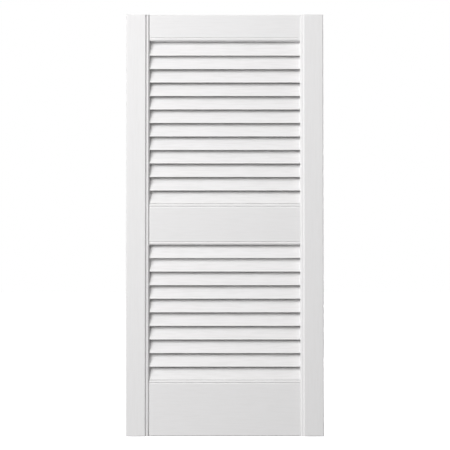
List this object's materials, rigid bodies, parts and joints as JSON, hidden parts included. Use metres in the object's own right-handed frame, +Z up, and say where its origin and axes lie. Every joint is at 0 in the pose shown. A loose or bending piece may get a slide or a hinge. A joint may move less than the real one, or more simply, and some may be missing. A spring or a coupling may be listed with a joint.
{
  "type": "louvred shutter panel",
  "caption": "Painted timber window shutter: a stile and rail frame with a middle rail and two fields of fixed slanting slats, made to be fixed or hinged beside a window.",
  "frame": {"origin": "centre of the panel's bottom face, halfway between its front and its back", "axes": "+Z up the panel, -Y out of its front, +X to the right seen from the front"},
  "size_m": [0.3682, 0.0318, 0.7874],
  "materials": {
    "stile_paint": "white satin paint on timber, grain upright",
    "rail_paint": "white satin paint on timber, grain level",
    "slat_paint": "white satin paint on timber, grain level",
    "dowel_wood": "plain beech"
  },
  "bodies": {
    "root": {"left_stile": "stile_paint", "right_stile": "stile_paint", "top_rail": "rail_paint", "mid_rail": "rail_paint", "bottom_rail": "rail_paint", "upper_slat_01": "slat_paint", "upper_slat_02": "slat_paint", "upper_slat_03": "slat_paint", "upper_slat_04": "slat_paint", "upper_slat_05": "slat_paint", "upper_slat_06": "slat_paint", "upper_slat_07": "slat_paint", "upper_slat_08": "slat_paint", "upper_slat_09": "slat_paint", "upper_slat_10": "slat_paint", "upper_slat_11": "slat_paint", "upper_slat_12": "slat_paint", "lower_slat_01": "slat_paint", "lower_slat_02": "slat_paint", "lower_slat_03": "slat_paint", "lower_slat_04": "slat_paint", "lower_slat_05": "slat_paint", "lower_slat_06": "slat_paint", "lower_slat_07": "slat_paint", "lower_slat_08": "slat_paint", "lower_slat_09": "slat_paint", "lower_slat_10": "slat_paint", "top_rail_dowel_left_1": "dowel_wood", "top_rail_dowel_left_2": "dowel_wood", "top_rail_dowel_right_1": "dowel_wood", "top_rail_dowel_right_2": "dowel_wood", "mid_rail_dowel_left_1": "dowel_wood", "mid_rail_dowel_left_2": "dowel_wood", "mid_rail_dowel_right_1": "dowel_wood", "mid_rail_dowel_right_2": "dowel_wood", "bottom_rail_dowel_left_1": "dowel_wood", "bottom_rail_dowel_left_2": "dowel_wood", "bottom_rail_dowel_left_3": "dowel_wood", "bottom_rail_dowel_right_1": "dowel_wood", "bottom_rail_dowel_right_2": "dowel_wood", "bottom_rail_dowel_right_3": "dowel_wood"}
  },
  "joints": []
}
